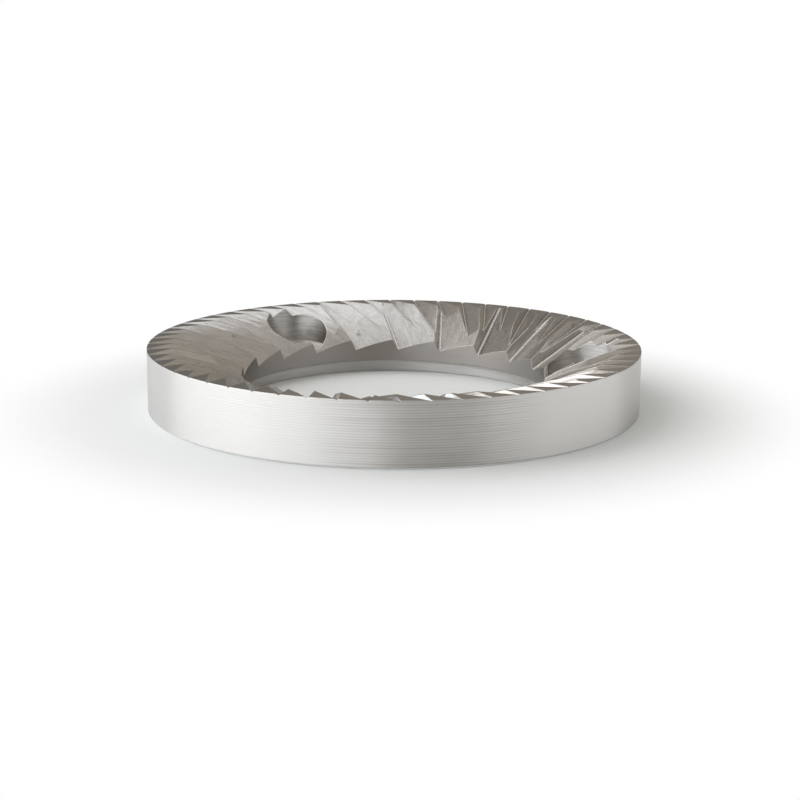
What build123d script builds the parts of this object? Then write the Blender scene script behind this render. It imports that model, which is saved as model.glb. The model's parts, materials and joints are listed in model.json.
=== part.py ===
"""Flat grinding burr of a coffee grinder.

One hardened steel ring, teeth up. Coarse breaker gashes rise from the bore towards the rim and break
the bean, and finer gashes cut the outer zone into grinding teeth with a narrow flat land at the rim.
Three countersunk screws hold the ring by its back face. Millimetres, Z up, the axis on Z, the back
face on Z = 0 and one screw hole on +X.
"""

import os
from math import asin, cos, pi, radians, sin, tan

from build123d import *

# Ring blank
outer_diameter = 64.0
bore_diameter = 39.7
height = 8.2
register_diameter = 42.0
register_depth = 1.45
bore_edge_break = 0.3
back_edge_chamfer = 0.25

# Breaker gashes: straight, sloping down towards the bore and passing the axis at an offset.
# Their roots leave the top face inside the rim, at the start angle.
breaker_count = 21
breaker_rim_margin = 1.65
breaker_start_angle = 4.3
breaker_offset = 5.5
breaker_slope = 24.6
breaker_flank_angle = 24.3
breaker_wall_lean = 27.3
breaker_root_radius = 0.22

# Fine gashes of the outer zone. Their roots would leave the top plane outside the rim, so they nick it.
fine_count = 56
fine_rim_overshoot = 0.6
fine_start_angle = 4.0
fine_offset = 11.1
fine_slope = 13.0
fine_flank_angle = 29.0
fine_wall_lean = 42.5
fine_root_radius = 0.1

# Screws: countersunk heads, sunk below the teeth
screw_count = 3
screw_circle_diameter = 49.0
screw_hole_diameter = 4.5
screw_head_diameter = 8.4
screw_head_angle = 90.0
screw_seat_height = 3.6

# How far a gash tool runs past the ring at each end, and how many gash spacings wide it is
tool_overrun = 5.0
tool_spacings = 1.2

outer_radius = outer_diameter / 2
bore_radius = bore_diameter / 2


def gash_tool(count, runout_radius, start_angle, offset, slope, flank_angle, wall_lean, root_radius):
    """One gash as a solid: a steep wall and a gentle flank that meet in a rounded root.

    The line where they would meet leaves the top plane at the runout radius and the start angle.
    """
    start = radians(start_angle)
    heading = start + asin(offset / runout_radius)
    inward = Vector(-cos(heading), -sin(heading), 0)
    clockwise = Vector(-inward.Y, inward.X, 0)
    root_line = inward * cos(radians(slope)) - Vector(0, 0, sin(radians(slope)))
    runout_point = Vector(runout_radius * cos(start), runout_radius * sin(start), height)

    runout_distance = (runout_radius**2 - offset**2) ** 0.5
    bore_distance = (bore_radius**2 - offset**2) ** 0.5
    root_length = (runout_distance - bore_distance) / cos(radians(slope))

    reach = tool_spacings * pi * outer_diameter / count
    flank_rise = reach * tan(radians(flank_angle))
    tool_height = height + flank_rise
    wall_run = tool_height * tan(radians(wall_lean))

    section_plane = Plane(origin=runout_point, x_dir=clockwise, z_dir=root_line)
    with BuildPart() as tool:
        with BuildSketch(section_plane.offset(-tool_overrun)) as section:
            with BuildLine():
                Polyline(
                    (0, 0),
                    (reach, flank_rise),
                    (reach, tool_height),
                    (-wall_run, tool_height),
                    close=True,
                )
            make_face()
            fillet(section.vertices().sort_by(Axis.Y)[0], radius=root_radius)
        extrude(amount=root_length + 2 * tool_overrun)
    return tool.part


breaker_gash = gash_tool(
    breaker_count,
    outer_radius - breaker_rim_margin,
    breaker_start_angle,
    breaker_offset,
    breaker_slope,
    breaker_flank_angle,
    breaker_wall_lean,
    breaker_root_radius,
)
fine_gash = gash_tool(
    fine_count,
    outer_radius + fine_rim_overshoot,
    fine_start_angle,
    fine_offset,
    fine_slope,
    fine_flank_angle,
    fine_wall_lean,
    fine_root_radius,
)

with BuildPart() as grinding_burr:
    # The turned blank: bore, register recess in the back and a broken back edge
    with BuildSketch(Plane.XZ):
        with BuildLine():
            Polyline(
                (bore_radius, register_depth + bore_edge_break),
                (bore_radius, height),
                (outer_radius, height),
                (outer_radius, back_edge_chamfer),
                (outer_radius - back_edge_chamfer, 0),
                (register_diameter / 2, 0),
                (register_diameter / 2, register_depth),
                (bore_radius + bore_edge_break, register_depth),
                close=True,
            )
        make_face()
    revolve(axis=Axis.Z)

    # The teeth
    with PolarLocations(0, breaker_count):
        add(breaker_gash, mode=Mode.SUBTRACT)
    with PolarLocations(0, fine_count):
        add(fine_gash, mode=Mode.SUBTRACT)

    # The screw holes
    with Locations((0, 0, screw_seat_height)):
        with PolarLocations(screw_circle_diameter / 2, screw_count):
            CounterSinkHole(
                radius=screw_hole_diameter / 2,
                counter_sink_radius=screw_head_diameter / 2,
                counter_sink_angle=screw_head_angle,
                depth=height,
            )

grinding_burr.part.label = "grinding_burr"

os.makedirs("parts", exist_ok=True)
export_step(grinding_burr.part, "parts/grinding_burr.step")
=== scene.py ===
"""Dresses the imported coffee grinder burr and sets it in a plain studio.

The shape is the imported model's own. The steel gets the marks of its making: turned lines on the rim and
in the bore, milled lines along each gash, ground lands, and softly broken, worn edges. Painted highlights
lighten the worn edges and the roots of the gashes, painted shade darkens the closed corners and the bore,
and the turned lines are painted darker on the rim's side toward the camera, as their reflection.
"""

import json
from math import atan2, cos, pi, radians, sin, tan
from types import SimpleNamespace
from typing import NamedTuple

import bmesh
import bpy
from bpy.props import FloatProperty, FloatVectorProperty, PointerProperty
from mathutils import Matrix, Vector


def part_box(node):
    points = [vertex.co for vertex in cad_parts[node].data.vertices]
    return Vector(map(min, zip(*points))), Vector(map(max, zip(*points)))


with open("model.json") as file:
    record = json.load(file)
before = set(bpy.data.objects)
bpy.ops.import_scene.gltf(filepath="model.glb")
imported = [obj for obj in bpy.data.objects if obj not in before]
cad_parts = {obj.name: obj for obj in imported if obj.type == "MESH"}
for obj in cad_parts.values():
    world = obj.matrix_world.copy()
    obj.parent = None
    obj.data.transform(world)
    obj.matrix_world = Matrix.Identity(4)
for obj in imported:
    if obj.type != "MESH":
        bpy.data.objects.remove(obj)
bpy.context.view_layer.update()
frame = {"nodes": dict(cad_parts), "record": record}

bl_info = {
    "name": "Grinder burr dresser",
    "version": (1, 0, 0),
    "blender": (4, 5, 0),
    "location": "3D View > Sidebar > Burr",
    "description": "Finishes a flat grinder burr in marked steel and sets its studio",
    "category": "Object",
}

BURR = "grinding_burr"
MM = 1000.0

record = frame["record"]
mounts = {mount["name"]: mount["dims"] for mount in record["mounts"]}
steel = next(material for material in record["materials"] if material["slot"] == "tool_steel")

# Sizes of the ring in millimetres, from the frame
low_corner, high_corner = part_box(BURR)
rim_radius = high_corner[0] * MM
bore_radius = mounts["bore"]["r_mm"]
register_radius = mounts["register"]["r_mm"]
register_depth = mounts["register"]["length_mm"]
screw_circle_radius = mounts["screw_holes"]["pcd_mm"] / 2
screw_count = mounts["screw_holes"]["count"]

tooth_middle_radius = (bore_radius + rim_radius) / 2

# Sizes that the frame doesn't give, and how far a mask reaches past the surface that it picks
head_recess_radius = 4.2
bore_edge_break = 0.3
mask_margin = 0.05

# A normal's Z tells the tooth faces apart. It is above land_level on the ground lands and below flank_level
# on the gashes. It is within same_face of a flat face's own Z there, and past other_face in a root.
land_level = 0.99
flank_level = 0.9
same_face = 0.006
other_face = 0.015

floor_gap = 0.00002
WHITE = (1.0, 1.0, 1.0, 1.0)
QUARTER_TURN = 0.25


class Gash(NamedTuple):
    """Angles of one set of gashes, in degrees: the slope of the root, the flank and the leaning wall."""

    slope: float
    flank_angle: float
    wall_lean: float

    def flank(self):
        """The flank's normal in the gash's own directions: inward, across and up."""
        slope, angle = radians(self.slope), radians(self.flank_angle)
        return Vector((cos(angle) * sin(slope), -sin(angle), cos(angle) * cos(slope)))

    def wall(self):
        """The wall's normal in the gash's own directions: inward, across and up."""
        slope, lean = radians(self.slope), radians(self.wall_lean)
        return Vector((sin(lean) * sin(slope), cos(lean), sin(lean) * cos(slope)))


breaker_gash = Gash(24.6, 24.3, 27.3)
fine_gash = Gash(13.0, 29.0, 42.5)
tooth_faces = sorted(
    (breaker_gash.wall(), fine_gash.wall(), breaker_gash.flank(), fine_gash.flank()),
    key=lambda face: face.z,
)


class Softbox(NamedTuple):
    """A rectangular lamp that faces the burr, by the angles in degrees that it fills as seen from there.

    The turn is counted from the camera's side, positive to its right, and the height from the floor.
    The warmth goes from 0, the cool colour of its light, to 1, the warm one.
    """

    name: str
    turn: float
    height: float
    half_width: float
    half_height: float
    radiance: float
    warmth: float


softboxes = (
    Softbox("key_softbox", -94.0, 37.0, 27.0, 17.0, 1.6, 0.28),
    Softbox("high_softbox", -80.0, 62.0, 14.0, 8.5, 1.8, 0.28),
    Softbox("left_strip", -61.0, 10.0, 57.0, 10.0, 3.8, 0.08),
    Softbox("back_strip", -136.0, 15.0, 12.0, 12.0, 1.7, 0.0),
    Softbox("back_softbox", 168.0, 27.0, 17.0, 18.0, 0.105, 1.0),
    Softbox("right_strip", 81.0, 8.0, 41.0, 8.0, 1.9, 0.15),
    Softbox("right_softbox", 80.0, 52.0, 20.0, 13.0, 0.4, 0.15),
    Softbox("front_softbox", -38.0, 46.0, 18.0, 18.0, 0.43, 0.35),
    Softbox("top_softbox", -163.0, 61.5, 15.5, 15.0, 0.77, 0.0),
)


class BurrFinishSettings(bpy.types.PropertyGroup):
    """Colours and marks of the burr's steel."""

    steel_colour: FloatVectorProperty(
        name="Steel colour",
        description="Colour of the clean steel",
        subtype="COLOR",
        size=3,
        min=0.0,
        max=1.0,
        default=steel["base_color"],
    )
    stain_colour: FloatVectorProperty(
        name="Stain colour",
        description="Colour of the thin brown film that lies on parts of the steel",
        subtype="COLOR",
        size=3,
        min=0.0,
        max=1.0,
        default=(0.47, 0.42, 0.36),
    )
    # Colour of the stain marks, and of the painted shade and painted reflections that darken the steel
    stain_and_shade_colour: FloatVectorProperty(
        name="Grime colour",
        description="Colour of the dark grime in the roots of the gashes",
        subtype="COLOR",
        size=3,
        min=0.0,
        max=1.0,
        default=(0.2, 0.18, 0.16),
    )
    dull_colour: FloatVectorProperty(
        name="Dull colour",
        description="Colour of the dull streaks on the teeth and of the ground lands",
        subtype="COLOR",
        size=3,
        min=0.0,
        max=1.0,
        default=(0.42, 0.415, 0.405),
    )
    # Colour of the worn edges, which also carries their painted highlight, and of the painted highlight on
    # the roots
    wear_and_highlight_colour: FloatVectorProperty(
        name="Edge colour",
        description="Colour of the bright steel on worn edges",
        subtype="COLOR",
        size=3,
        min=0.0,
        max=1.0,
        default=(0.9, 0.89, 0.87),
    )
    roughness: FloatProperty(
        name="Roughness",
        description="Roughness of the milled faces",
        subtype="FACTOR",
        min=0.0,
        max=1.0,
        default=0.15,
    )
    turned_roughness: FloatProperty(
        name="Turned roughness",
        description="Roughness of the turned rim and bore",
        subtype="FACTOR",
        min=0.0,
        max=1.0,
        default=0.46,
    )
    turned_smear: FloatProperty(
        name="Turned smear",
        description="How far the turned lines smear reflections across themselves",
        subtype="FACTOR",
        min=0.0,
        max=1.0,
        default=0.85,
    )
    turning_pitch: FloatProperty(
        name="Turning pitch",
        description="Distance between the turned lines on the rim",
        unit="LENGTH",
        precision=5,
        default=0.00032,
    )
    turning_depth: FloatProperty(
        name="Turning depth",
        description="Depth of the turned lines on the rim",
        unit="LENGTH",
        precision=6,
        default=0.000016,
    )
    # Where on the rim the lines are painted darker as their reflection, on the camera's side, as an angle
    # from -Y
    painted_reflection_turn: FloatProperty(
        name="Drag turn",
        description="Where on the rim the dark drag lines are, as an angle from -Y",
        unit="ROTATION",
        default=radians(4.0),
    )
    milling_depth: FloatProperty(
        name="Milling depth",
        description="Depth of the milled lines along the gashes",
        unit="LENGTH",
        precision=6,
        default=0.000008,
    )
    tooth_crown: FloatProperty(
        name="Tooth crown",
        description="How much the tooth faces bow along the gashes, per millimetre",
        precision=4,
        default=0.005,
    )
    fine_tilt: FloatProperty(
        name="Fine tilt",
        description="How far the flanks of the fine gashes lean to the axis, as a slope",
        precision=3,
        default=0.07,
    )
    edge_radius: FloatProperty(
        name="Edge radius",
        description="Radius of the softly broken edges",
        unit="LENGTH",
        precision=5,
        default=0.0002,
    )
    # How far the painted shade reaches from the closed corners
    shade_reach: FloatProperty(
        name="Grime reach",
        description="How far dark grime spreads from the roots of the gashes",
        unit="LENGTH",
        precision=5,
        default=0.001,
    )


class BurrStudioSettings(bpy.types.PropertyGroup):
    """Camera, light and floor around the burr."""

    view_turn: FloatProperty(
        name="View turn",
        description="Angle of the camera round the burr's axis",
        unit="ROTATION",
        default=radians(-4.1),
    )
    view_height: FloatProperty(
        name="View height",
        description="Angle of the camera above the floor",
        unit="ROTATION",
        default=radians(13.52),
    )
    view_roll: FloatProperty(
        name="View roll",
        description="Tilt of the camera about its own axis",
        unit="ROTATION",
        default=radians(0.307),
    )
    view_distance: FloatProperty(
        name="View distance",
        description="Distance of the camera from the centre of the back face",
        unit="LENGTH",
        default=0.2463,
    )
    focal_length: FloatProperty(
        name="Focal length",
        description="Focal length of the camera",
        unit="CAMERA",
        default=84.36,
    )
    shift_x: FloatProperty(
        name="Shift X",
        description="Sideways shift of the frame, in frame widths",
        precision=4,
        default=0.0078,
    )
    shift_y: FloatProperty(
        name="Shift Y",
        description="Upward shift of the frame, in frame widths",
        precision=4,
        default=0.0063,
    )
    cool_colour: FloatVectorProperty(
        name="Cool colour",
        description="Colour of the light of a cool softbox",
        subtype="COLOR",
        size=3,
        min=0.0,
        max=1.0,
        default=(0.87, 0.92, 1.0),
    )
    warm_colour: FloatVectorProperty(
        name="Warm colour",
        description="Colour of the light of a warm softbox",
        subtype="COLOR",
        size=3,
        min=0.0,
        max=1.0,
        default=(1.0, 0.82, 0.6),
    )
    softbox_level: FloatProperty(
        name="Softbox level",
        description="Brightness of all softboxes together",
        min=0.0,
        default=1.05,
    )
    softbox_distance: FloatProperty(
        name="Softbox distance",
        description="Distance of the softboxes from the burr",
        unit="LENGTH",
        default=0.6,
    )
    room_colour: FloatVectorProperty(
        name="Room colour",
        description="Colour and brightness of the room's walls near the floor",
        subtype="COLOR",
        size=3,
        min=0.0,
        max=1.0,
        default=(0.23, 0.215, 0.195),
    )
    ceiling_colour: FloatVectorProperty(
        name="Ceiling colour",
        description="Colour and brightness of the room's ceiling",
        subtype="COLOR",
        size=3,
        min=0.0,
        max=1.0,
        default=(0.495, 0.462, 0.418),
    )
    floor_colour: FloatVectorProperty(
        name="Floor colour",
        description="Colour of the floor near the burr",
        subtype="COLOR",
        size=3,
        min=0.0,
        max=1.0,
        default=(0.855, 0.888, 0.9),
    )
    floor_radius: FloatProperty(
        name="Floor radius",
        description="Radius of the floor",
        unit="LENGTH",
        default=8.0,
    )
    shadow_radius: FloatProperty(
        name="Shadow radius",
        description="Distance from the axis within which the floor takes the burr's full shadow",
        unit="LENGTH",
        default=0.034,
    )
    white_radius: FloatProperty(
        name="White radius",
        description="Distance from the axis at which the floor is plain white",
        unit="LENGTH",
        default=0.056,
    )


class Wire:
    """A socket that takes part in Python arithmetic. Each step adds a Math node."""

    def __init__(self, nodes, socket):
        self.nodes = nodes
        self.socket = socket

    def math(self, operation, *values):
        """A Math node on this value and the others."""
        sockets = dict(enumerate((self,) + values))
        return self.nodes.add("ShaderNodeMath", {"operation": operation}, sockets)

    def __add__(self, other):
        return self.math("ADD", other)

    __radd__ = __add__

    def __sub__(self, other):
        return self.math("SUBTRACT", other)

    def __rsub__(self, other):
        return self.nodes.add("ShaderNodeMath", {"operation": "SUBTRACT"}, {0: other, 1: self})

    def __mul__(self, other):
        return self.math("MULTIPLY", other)

    __rmul__ = __mul__

    def __truediv__(self, other):
        return self.math("DIVIDE", other)

    def __pow__(self, other):
        return self.math("POWER", other)

    def __gt__(self, other):
        return self.math("GREATER_THAN", other)

    def __lt__(self, other):
        return self.math("LESS_THAN", other)

    def __abs__(self):
        return self.math("ABSOLUTE")


class ShaderNodes:
    """The node tree of one material or world."""

    def __init__(self, owner):
        owner.use_nodes = True
        self.tree = owner.node_tree
        self.tree.nodes.clear()

    def add(self, kind, settings=None, sockets=None, outputs=(0,)):
        """Adds a node, sets its settings first and then its sockets, and returns the outputs asked for."""
        node = self.tree.nodes.new(kind)
        for name, value in (settings or {}).items():
            setattr(node, name, value)
        for key, value in (sockets or {}).items():
            if isinstance(value, Wire):
                self.tree.links.new(value.socket, node.inputs[key])
            else:
                node.inputs[key].default_value = value
        wires = [Wire(self, node.outputs[key]) for key in outputs]
        return wires[0] if len(wires) == 1 else wires

    def step(self, value, start, end):
        """A smooth rise from 0 at start to 1 at end."""
        sockets = {"Value": value, "From Min": start, "From Max": end}
        return self.add("ShaderNodeMapRange", {"interpolation_type": "SMOOTHSTEP"}, sockets)

    def vector(self, x, y, z):
        """A vector from three values."""
        return self.add("ShaderNodeCombineXYZ", None, {0: x, 1: y, 2: z})

    def split(self, vector):
        """The three values of a vector."""
        return self.add("ShaderNodeSeparateXYZ", None, {0: vector}, (0, 1, 2))

    def noise(self, vector, scale, detail=2.0, roughness=0.5):
        """Noise from 0 to 1, about 0.5 on average."""
        sockets = {"Vector": vector, "Scale": scale, "Detail": detail, "Roughness": roughness}
        return self.add("ShaderNodeTexNoise", {"noise_dimensions": "3D"}, sockets)

    def mix_colour(self, factor, first, second):
        """The first colour where the factor is 0 and the second where it is 1."""
        sockets = {0: factor, 6: opaque(first), 7: opaque(second)}
        return self.add("ShaderNodeMix", {"data_type": "RGBA"}, sockets, (2,))


def opaque(colour):
    """A colour with its alpha, where it is written as numbers."""
    return colour if isinstance(colour, Wire) else (*colour, 1.0)


def burr_places(nodes):
    """Where a point lies on the burr, in millimetres, and which kind of surface it is on, as masks."""
    coordinates, normal = nodes.add("ShaderNodeTexCoord", None, None, ("Object", "Normal"))
    point = nodes.add("ShaderNodeVectorMath", {"operation": "SCALE"}, {0: coordinates, "Scale": MM})
    x, y, z = nodes.split(point)
    normal_x, normal_y, normal_z = nodes.split(normal)
    radius = (x * x + y * y) ** 0.5
    angle = y.math("ARCTAN2", x)

    # Distance from the nearest screw hole's axis: the angle is folded onto one hole's share of the ring
    share = 2 * pi / screw_count
    from_hole = (angle + share / 2).math("FLOORED_MODULO", share) - share / 2
    hole_x = radius * from_hole.math("COSINE") - screw_circle_radius
    hole_y = radius * from_hole.math("SINE")
    hole_radius = (hole_x * hole_x + hole_y * hole_y) ** 0.5

    register_top = register_depth + bore_edge_break + mask_margin
    register = (radius < register_radius + mask_margin) * (z < register_top)
    rim = radius > rim_radius - mask_margin
    bore = radius < bore_radius + mask_margin
    recess = (hole_radius < head_recess_radius + mask_margin) * (1 - register)
    between_flanks = (breaker_gash.flank().z + fine_gash.flank().z) / 2
    place = SimpleNamespace(
        point=point,
        x=x,
        y=y,
        z=z,
        radius=radius,
        hole_radius=hole_radius,
        hole_angle=hole_y.math("ARCTAN2", hole_x),
        normal_angle=normal_y.math("ARCTAN2", normal_x),
        normal_z=normal_z,
        land=normal_z > land_level,
        fine_flank=(normal_z > between_flanks) * (normal_z < flank_level),
        breaker_flank=abs(normal_z - breaker_gash.flank().z) < same_face,
        bore=bore,
        recess=recess,
        turned=rim.math("MAXIMUM", bore).math("MAXIMUM", register).math("MAXIMUM", recess),
    )
    place.across, place.along = gash_directions(place)
    return place


def gash_directions(place):
    """Distances across and along the gash, in millimetres.

    Every tooth face is flat, so its normal tells which of the four kinds of face it is and which way
    its gash runs: the across direction lies at a fixed turn from the level part of the normal.
    """
    turns = [pi / 2 - atan2(face.y, face.x) for face in tooth_faces]
    turn = turns[0]
    for lower, upper, lower_turn, upper_turn in zip(tooth_faces, tooth_faces[1:], turns, turns[1:]):
        turn = (place.normal_z > (lower.z + upper.z) / 2) * (upper_turn - lower_turn) + turn
    across_angle = place.normal_angle + turn
    cosine = across_angle.math("COSINE")
    sine = across_angle.math("SINE")
    across = place.x * cosine + place.y * sine
    along = place.y * cosine - place.x * sine
    return across, along


def gash_noise(nodes, place, across, along, tooth, detail, roughness=0.5):
    """Noise from 0 to 1, drawn out along the gashes and different on each tooth.

    The scales are in waves per millimetre across and along the gash, and per radian from tooth to tooth.
    """
    stretched = nodes.vector(place.across * across, place.along * along, place.normal_angle * tooth)
    return nodes.noise(stretched, 1.0, detail, roughness)


def milled_lines(nodes, place, settings):
    """Height of the cutter's lines and faint waves along each gash, on slightly bowed and tilted faces."""
    wave_share = 3.0
    lines = gash_noise(nodes, place, across=7.0, along=0.3, tooth=9.0, detail=3.0, roughness=0.6)
    waves = gash_noise(nodes, place, across=1.3, along=0.4, tooth=5.0, detail=1.0)
    marks = (lines + waves * wave_share) * (settings.milling_depth * MM) * (1 - place.land)
    crown = (place.radius - tooth_middle_radius) ** 2 * settings.tooth_crown
    tilt = place.radius * place.fine_flank * settings.fine_tilt
    return marks - crown + tilt


def dull_streaks(nodes, place):
    """How dull the steel is, from 0 to 1: streaks along the gashes, and the whole of the ground lands."""
    grain_share, streak_strength, breaker_strength = 0.25, 0.5, 0.2
    streaks = gash_noise(nodes, place, across=2.6, along=0.5, tooth=7.0, detail=4.0, roughness=0.65)
    grains = nodes.noise(place.point, 4.5, 2.0, 0.6)
    marks = nodes.step(streaks * (1 - grain_share) + grains * grain_share, start=0.4, end=0.66)
    dulled = marks * streak_strength + place.breaker_flank * breaker_strength
    return dulled.math("MAXIMUM", place.land)


def stain_marks(nodes, place):
    """Sparse small dark marks on the tooth faces, drawn out along the gashes, from 0 to 1."""
    marks = gash_noise(nodes, place, across=1.4, along=0.5, tooth=3.0, detail=2.0)
    return nodes.step(marks, start=0.68, end=0.76)


def painted_root_highlights(nodes, place):
    """A mask of the rounded roots, where a highlight is painted: the places on the teeth that face as none
    of the flat faces does.
    """
    mask = place.normal_z < land_level
    for face in tooth_faces:
        mask = nodes.step(abs(place.normal_z - face.z), same_face, other_face) * mask
    return mask


def drag_lines(nodes, place):
    """The uneven lines that chips drag round the rim and the bore, from 0 to 1."""
    turn_waves, height_waves = 2.5, 6.0
    around_x = place.x / place.radius * turn_waves
    around_y = place.y / place.radius * turn_waves
    return nodes.noise(nodes.vector(around_x, around_y, place.z * height_waves), 1.0, 3.0, 0.6)


def painted_reflection_side(nodes, place, settings):
    """A mask of the rim's side toward the camera, where the lines are painted darker as their reflection.
    """
    turn = settings.painted_reflection_turn
    forward = (place.x * sin(turn) - place.y * cos(turn)) / place.radius
    return nodes.step(forward, start=0.88, end=0.97)


def drilled_rings(nodes, place):
    """The rings that the counterbore leaves on the walls of the head recesses, from 0 to 1."""
    turn_waves, depth_waves = 1.2, 4.0
    around_x = place.hole_angle.math("COSINE") * turn_waves
    around_y = place.hole_angle.math("SINE") * turn_waves
    depth = (place.z + place.hole_radius) * depth_waves
    return nodes.noise(nodes.vector(around_x, around_y, depth), 1.0, 3.0, 0.6)


def softened_edges(nodes, settings):
    """The normal of the softly broken edges, and a mask of where it leaves the face's own."""
    edge_normal = nodes.add("ShaderNodeBevel", {"samples": 6}, {"Radius": settings.edge_radius})
    face_normal = nodes.add("ShaderNodeNewGeometry", None, None, ("Normal",))
    normals = {0: edge_normal, 1: face_normal}
    agreement = nodes.add("ShaderNodeVectorMath", {"operation": "DOT_PRODUCT"}, normals, ("Value",))
    return edge_normal, nodes.step(agreement, start=0.985, end=0.9)


def painted_corner_shade(nodes, specks, settings):
    """Painted shade in the closed corners, from 0 to 1, with an uneven edge."""
    unevenness = 0.2
    openness = nodes.add(
        "ShaderNodeAmbientOcclusion",
        {"samples": 6, "only_local": True},
        {"Distance": settings.shade_reach},
        ("AO",),
    )
    return nodes.step(openness + (specks - 0.5) * unevenness, start=0.95, end=0.45)


def wear_and_painted_light(nodes, place, settings):
    """What all of the steel shares: broken, worn edges with a painted highlight, fine specks, a painted
    highlight on the roots and painted shade in the corners.
    """
    edge_normal, worn_and_glinting_edge = softened_edges(nodes, settings)
    specks = nodes.noise(place.point, 1.7, 3.0, 0.6)
    # The rounded roots carry a painted highlight
    root = painted_root_highlights(nodes, place)
    # Painted shade: the closed corners are darkened, except on the roots
    shade_in_corners = painted_corner_shade(nodes, specks, settings) * (1 - root)
    return SimpleNamespace(
        edge_normal=edge_normal,
        worn_and_glinting_edge=worn_and_glinting_edge,
        specks=specks,
        root=root,
        shade_in_corners=shade_in_corners,
    )


def marked_normal(nodes, height, normal):
    """A normal with marks of that height, in millimetres, added to it."""
    sockets = {"Strength": 1.0, "Distance": 1 / MM, "Height": height, "Normal": normal}
    return nodes.add("ShaderNodeBump", None, sockets)


def cut_steel(nodes, place, marks_and_light, settings):
    """The milled teeth and ground lands: film, dull streaks, stain marks and painted shade, with painted
    highlights on the roots and on the worn edges.
    """
    speck_share, film_strength, corner_shade_strength, mark_strength, edge_strength = 0.35, 0.2, 0.9, 0.6, 0.3
    patches = nodes.noise(place.point, 0.16, 3.0, 0.55)
    film = nodes.step(patches * (1 - speck_share) + marks_and_light.specks * speck_share, start=0.42, end=0.68)
    # Painted shade in the closed corners, together with real stain marks
    stains_and_painted_shade = (marks_and_light.shade_in_corners * corner_shade_strength).math("MAXIMUM", stain_marks(nodes, place) * mark_strength)
    # Painted highlight: the rounded roots, and in part the worn edges, are lightened towards the edge
    # colour
    bright = (marks_and_light.worn_and_glinting_edge * edge_strength).math("MAXIMUM", marks_and_light.root)
    colour = nodes.mix_colour(film * film_strength, settings.steel_colour, settings.stain_colour)
    colour = nodes.mix_colour(dull_streaks(nodes, place), colour, settings.dull_colour)
    colour = nodes.mix_colour(stains_and_painted_shade, colour, settings.stain_and_shade_colour)
    colour = nodes.mix_colour(bright, colour, settings.wear_and_highlight_colour)

    # The film and the breaker flanks are rougher, and the roots and edges smoother
    rougher = film * 0.05 + (marks_and_light.specks - 0.5) * 0.08 + place.breaker_flank * 0.08
    smoother = bright * 0.05
    sockets = {
        "Base Color": colour,
        "Metallic": 1.0,
        "Roughness": rougher - smoother + settings.roughness,
        "Normal": marked_normal(nodes, milled_lines(nodes, place, settings), marks_and_light.edge_normal),
    }
    return nodes.add("ShaderNodeBsdfPrincipled", None, sockets)


def turned_steel(nodes, place, marks_and_light, settings):
    """The turned rim, bore and register and the drilled recesses, which smear what they reflect."""
    line_share, line_reflection_strength, ring_strength = 0.6, 0.45, 0.35
    bore_shade, turned_shade_strength, smoother_edge = 0.65, 0.4, 0.1
    scallop_height, ring_height = 0.4, 2.0
    rings = drilled_rings(nodes, place)
    drag = drag_lines(nodes, place)
    feed_mark = (place.z / (settings.turning_pitch * MM)).math("FRACT") * 2 - 1
    scallop = feed_mark * feed_mark
    outside_recess = 1 - place.recess

    dark_lines = scallop * line_share + nodes.step(drag, start=0.4, end=0.7) * (1 - line_share)
    # The turned and drag lines are painted darker on the rim's side toward the camera, as their reflection
    painted_line_reflection = dark_lines * painted_reflection_side(nodes, place, settings) * outside_recess * line_reflection_strength
    dark_rings = nodes.step(rings, start=0.4, end=0.65) * place.recess * ring_strength
    # Painted shade: the bore and the closed corners are darkened; the drilled rings are the recesses' own
    # marks
    rings_and_painted_shade = place.bore * bore_shade + marks_and_light.shade_in_corners * turned_shade_strength + dark_rings + painted_line_reflection
    marks = (scallop * scallop_height + drag) * outside_recess + rings * place.recess * ring_height
    sockets = {
        "Base Color": nodes.mix_colour(rings_and_painted_shade, settings.steel_colour, settings.stain_and_shade_colour),
        "Metallic": 1.0,
        "Roughness": settings.turned_roughness - marks_and_light.worn_and_glinting_edge * smoother_edge,
        "Anisotropic": settings.turned_smear,
        "Anisotropic Rotation": QUARTER_TURN,
        "Normal": marked_normal(nodes, marks * (settings.turning_depth * MM), marks_and_light.edge_normal),
    }
    return nodes.add("ShaderNodeBsdfPrincipled", None, sockets)


def steel_finish(settings):
    """The burr's steel: one shader for the cut teeth and a brushed one for the turned surfaces."""
    material = bpy.data.materials.new("marked_tool_steel")
    nodes = ShaderNodes(material)
    place = burr_places(nodes)
    marks_and_light = wear_and_painted_light(nodes, place, settings)
    cut = cut_steel(nodes, place, marks_and_light, settings)
    turned = turned_steel(nodes, place, marks_and_light, settings)
    surface = nodes.add("ShaderNodeMixShader", None, {0: place.turned, 1: cut, 2: turned})
    nodes.add("ShaderNodeOutputMaterial", None, {"Surface": surface}, ())
    return material


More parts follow.
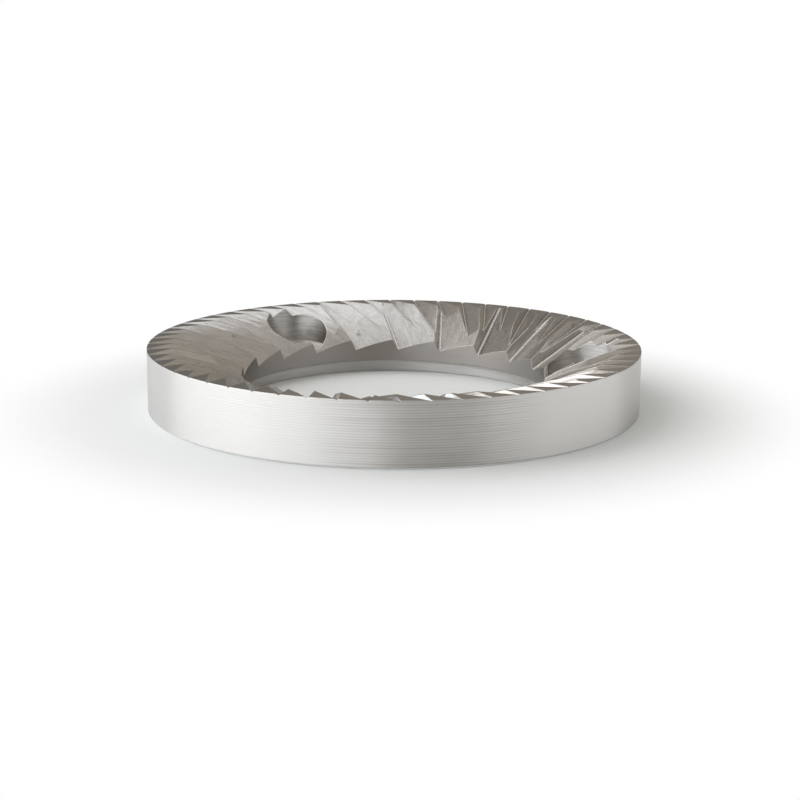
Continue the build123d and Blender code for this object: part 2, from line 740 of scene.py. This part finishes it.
def floor_finish(settings):
    """A pale floor that takes the burr's shadow and turns to plain white around it."""
    material = bpy.data.materials.new("pale_floor")
    nodes = ShaderNodes(material)
    coordinates = nodes.add("ShaderNodeTexCoord", None, None, ("Object",))
    x, y, _ = nodes.split(coordinates)
    radius = (x * x + y * y) ** 0.5
    seen_directly, mirrored, through_glass = nodes.add(
        "ShaderNodeLightPath", None, None, ("Is Camera Ray", "Is Glossy Ray", "Is Transmission Ray")
    )
    seen = seen_directly + mirrored + through_glass
    white = nodes.step(radius, settings.shadow_radius, settings.white_radius)
    paper = nodes.add("ShaderNodeBsdfDiffuse", None, {"Color": opaque(settings.floor_colour)})
    plain = nodes.add("ShaderNodeEmission", None, {"Color": WHITE, "Strength": 1.0})
    factor = white * seen.math("MINIMUM", 1.0)
    surface = nodes.add("ShaderNodeMixShader", None, {0: factor, 1: paper, 2: plain})
    nodes.add("ShaderNodeOutputMaterial", None, {"Surface": surface}, ())
    return material


def add_object(name, data):
    """A new object in the scene's collection."""
    item = bpy.data.objects.new(name, data)
    bpy.context.scene.collection.objects.link(item)
    return item


def direction(turn, height):
    """A unit vector from the burr, at a turn about its axis from -Y and at a height angle."""
    return Vector((sin(turn) * cos(height), -cos(turn) * cos(height), sin(height)))


def facing(position, roll=0.0):
    """A pose at the position that looks at the origin, with the frame rolled about the view."""
    view = position.normalized()
    right = Vector((0.0, 0.0, 1.0)).cross(view).normalized()
    pose = Matrix((right, view.cross(right), view)).transposed().to_4x4()
    return Matrix.Translation(position) @ pose @ Matrix.Rotation(roll, 4, "Z")


class BURR_OT_finish_steel(bpy.types.Operator):
    """Gives the burr its steel, with the marks of its making"""

    bl_idname = "burr.finish_steel"
    bl_label = "Finish the steel"
    bl_options = {"REGISTER", "UNDO"}

    def execute(self, context):
        burr = frame["nodes"][BURR]
        burr.data.materials.clear()
        burr.data.materials.append(steel_finish(context.scene.burr_finish))
        return {"FINISHED"}


class BURR_OT_build_studio(bpy.types.Operator):
    """Sets the floor, the softboxes, the room and the camera"""

    bl_idname = "burr.build_studio"
    bl_label = "Build the studio"
    bl_options = {"REGISTER", "UNDO"}

    def execute(self, context):
        settings = context.scene.burr_studio
        self.add_floor(settings)
        for softbox in softboxes:
            self.add_softbox(softbox, settings)
        self.set_room(context.scene, settings)
        self.add_camera(context.scene, settings)
        context.scene.view_settings.view_transform = "Standard"
        return {"FINISHED"}

    def add_floor(self, settings):
        """A wide round floor just under the burr's back face."""
        mesh = bpy.data.meshes.new("floor")
        shape = bmesh.new()
        bmesh.ops.create_circle(shape, cap_ends=True, segments=96, radius=settings.floor_radius)
        shape.to_mesh(mesh)
        shape.free()
        mesh.materials.append(floor_finish(settings))
        floor = add_object("floor", mesh)
        floor.location.z = low_corner[2] - floor_gap

    def add_softbox(self, softbox, settings):
        """A lamp that faces the burr, with a power that gives its face the softbox's radiance."""
        distance = settings.softbox_distance
        lamp = bpy.data.lights.new(softbox.name, "AREA")
        lamp.shape = "RECTANGLE"
        lamp.size = 2 * distance * tan(radians(softbox.half_width))
        lamp.size_y = 2 * distance * tan(radians(softbox.half_height))
        lamp.color = Vector(settings.cool_colour).lerp(Vector(settings.warm_colour), softbox.warmth)
        lamp.energy = settings.softbox_level * softbox.radiance * pi * lamp.size * lamp.size_y
        box = add_object(softbox.name, lamp)
        towards = direction(settings.view_turn + radians(softbox.turn), radians(softbox.height))
        box.matrix_world = facing(towards * distance)
        box.visible_camera = False

    def set_room(self, scene, settings):
        """A dim room that gets lighter from the top of its walls to its ceiling."""
        wall_top, ceiling_edge = radians(12.0), radians(65.0)
        world = bpy.data.worlds.new("room")
        nodes = ShaderNodes(world)
        towards = nodes.add("ShaderNodeTexCoord", None, None, ("Generated",))
        upward = nodes.split(towards)[2]
        height = nodes.step(upward, sin(wall_top), sin(ceiling_edge))
        colour = nodes.mix_colour(height, settings.room_colour, settings.ceiling_colour)
        room = nodes.add("ShaderNodeBackground", None, {"Color": colour})
        nodes.add("ShaderNodeOutputWorld", None, {"Surface": room}, ())
        scene.world = world

    def add_camera(self, scene, settings):
        """The camera, which looks at the centre of the back face."""
        data = bpy.data.cameras.new("camera")
        data.lens = settings.focal_length
        data.shift_x = settings.shift_x
        data.shift_y = settings.shift_y
        data.clip_start = 0.001
        camera = add_object("camera", data)
        eye = direction(settings.view_turn, settings.view_height) * settings.view_distance
        camera.matrix_world = facing(eye, settings.view_roll)
        scene.camera = camera


class BURR_PT_dresser(bpy.types.Panel):
    """Lists the burr's finish, the studio and their buttons"""

    bl_label = "Grinder burr"
    bl_idname = "BURR_PT_dresser"
    bl_space_type = "VIEW_3D"
    bl_region_type = "UI"
    bl_category = "Burr"

    def draw(self, context):
        parts = (
            (context.scene.burr_finish, BURR_OT_finish_steel),
            (context.scene.burr_studio, BURR_OT_build_studio),
        )
        for settings, operator in parts:
            column = self.layout.column(align=True)
            for name in settings.__annotations__:
                column.prop(settings, name)
            self.layout.operator(operator.bl_idname)


classes = (
    BurrFinishSettings,
    BurrStudioSettings,
    BURR_OT_finish_steel,
    BURR_OT_build_studio,
    BURR_PT_dresser,
)


def register():
    """Registers the settings, the operators and the panel."""
    for item in classes:
        bpy.utils.register_class(item)
    bpy.types.Scene.burr_finish = PointerProperty(type=BurrFinishSettings)
    bpy.types.Scene.burr_studio = PointerProperty(type=BurrStudioSettings)


def unregister():
    """Takes back what register did, in reverse."""
    del bpy.types.Scene.burr_studio
    del bpy.types.Scene.burr_finish
    for item in reversed(classes):
        bpy.utils.unregister_class(item)


def main():
    """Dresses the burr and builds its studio."""
    register()
    bpy.ops.burr.finish_steel()
    bpy.ops.burr.build_studio()


if __name__ == "__main__":
    main()
